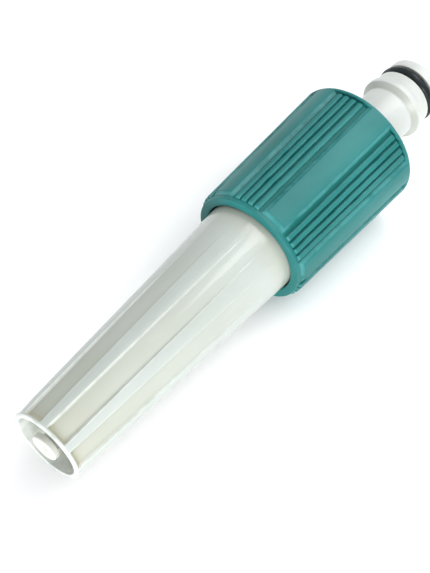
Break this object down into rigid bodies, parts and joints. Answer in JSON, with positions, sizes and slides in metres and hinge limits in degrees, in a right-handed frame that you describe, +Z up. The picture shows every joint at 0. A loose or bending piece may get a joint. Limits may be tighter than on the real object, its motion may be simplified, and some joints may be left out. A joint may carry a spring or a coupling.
{
  "type": "adjustable hose nozzle",
  "caption": "Adjustable twist nozzle for a garden hose: ribbed barrel that screws on a valve stem, ribbed grip collar and a plug-in quick-connect tail.",
  "frame": {"origin": "centre of the inlet mouth, on the tail's end face", "axes": "+X along the water way towards the outlet; +Z up, square to it"},
  "size_m": [0.1377, 0.0334, 0.0334],
  "materials": {
    "barrel_plastic": "satin moulded plastic, pale grey",
    "collar_plastic": "satin moulded plastic, blue-green",
    "tail_plastic": "satin moulded plastic, white",
    "stem_plastic": "moulded acetal, off-white",
    "seal_rubber": "greased black nitrile rubber",
    "spring_steel": "bright stainless spring steel"
  },
  "bodies": {
    "grip_and_stem": {"hose_tail": "tail_plastic", "tail_o_ring": "seal_rubber", "valve_stem": "stem_plastic", "stem_o_ring": "seal_rubber", "jet_pin": "stem_plastic", "shut_off_o_ring": "seal_rubber", "grip_collar": "collar_plastic", "collar_snap_ring": "spring_steel"},
    "sliding_seal": {"barrel_seal": "seal_rubber"},
    "barrel": {"barrel": "barrel_plastic", "seal_retainer": "stem_plastic"}
  },
  "joints": [
    {"name": "barrel_travel", "type": "slide", "parent": "grip_and_stem", "child": "sliding_seal", "axis": [1, 0, 0], "range_m": [0, 0.0075]},
    {"name": "barrel_twist", "type": "hinge", "parent": "sliding_seal", "child": "barrel", "pos_m": [0.0776, 0, 0], "axis": [1, 0, 0], "range_deg": [0, 540]}
  ],
  "couplings": [
    {"joint": "barrel_travel", "follows": "barrel_twist", "m_per_rad": 0.00079577}
  ]
}
